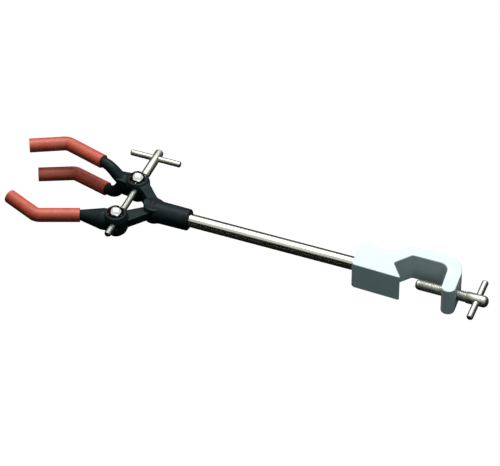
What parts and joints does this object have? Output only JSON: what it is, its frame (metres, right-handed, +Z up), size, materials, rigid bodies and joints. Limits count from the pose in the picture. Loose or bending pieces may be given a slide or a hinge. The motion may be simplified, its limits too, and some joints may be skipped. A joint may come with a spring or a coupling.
{
  "type": "three-finger clamp with boss head",
  "caption": "Laboratory three-finger extension clamp with a fixed boss head, plastic-sleeved fingers, a closing screw and tommy bars.",
  "frame": {"origin": "axis of the upright stand rod in the boss head's V seat, at the height of the clamp's own rod", "axes": "+X along the clamp's rod from the fingers to the boss head, +Z up along the stand rod, +Y towards the throat's web and the forked jaw"},
  "size_m": [0.3705, 0.1033, 0.0348],
  "materials": {
    "boss_paint": "satin",
    "black_casting": "gloss",
    "bright_steel": "polished",
    "plated_screw": "satin",
    "dark_steel": "satin",
    "red_pvc": "satin"
  },
  "bodies": {
    "clamp_frame": {"boss_head": "boss_paint", "support_rod": "bright_steel", "boss_grub_screw": "dark_steel", "stem_grub_screw": "dark_steel", "yoke": "black_casting", "pivot_pin": "dark_steel", "far_upper_sleeve": "red_pvc", "far_lower_sleeve": "red_pvc"},
    "near_jaw": {"near_jaw": "black_casting", "near_sleeve": "red_pvc"},
    "near_swivel": {"near_trunnion": "bright_steel", "near_trunnion_clip": "dark_steel"},
    "far_swivel": {"far_trunnion": "bright_steel", "far_trunnion_clip": "dark_steel"},
    "closing_screw": {"closing_screw": "plated_screw", "closing_tommy_bar": "plated_screw", "closing_screw_clip": "dark_steel", "closing_screw_washer": "bright_steel"},
    "boss_screw": {"boss_screw": "plated_screw", "boss_tommy_bar": "plated_screw"}
  },
  "joints": [
    {"name": "jaw_pivot", "type": "hinge", "parent": "clamp_frame", "child": "near_jaw", "pos_m": [-0.19472, 0, 0], "axis": [0, 0, 1], "range_deg": [-20, 15]},
    {"name": "near_swivel_turn", "type": "hinge", "parent": "near_jaw", "child": "near_swivel", "pos_m": [-0.21562, -0.0206, 0], "axis": [0, 0, 1], "range_deg": [-7.5, 10]},
    {"name": "far_swivel_turn", "type": "hinge", "parent": "clamp_frame", "child": "far_swivel", "pos_m": [-0.21562, 0.0206, 0], "axis": [0, 0, 1], "range_deg": [-10, 7.5]},
    {"name": "screw_turn", "type": "hinge", "parent": "far_swivel", "child": "closing_screw", "pos_m": [-0.21562, 0.0206, 0], "axis": [0, 1, 0], "range_deg": [-3282, 2461]},
    {"name": "boss_screw_travel", "type": "slide", "parent": "clamp_frame", "child": "boss_screw", "axis": [1, 0, 0], "range_m": [-0.006, 0.018]}
  ],
  "couplings": [
    {"joint": "jaw_pivot", "follows": "screw_turn", "ratio": 0.006092},
    {"joint": "far_swivel_turn", "follows": "screw_turn", "ratio": 0.003046},
    {"joint": "near_swivel_turn", "follows": "screw_turn", "ratio": -0.003046}
  ]
}
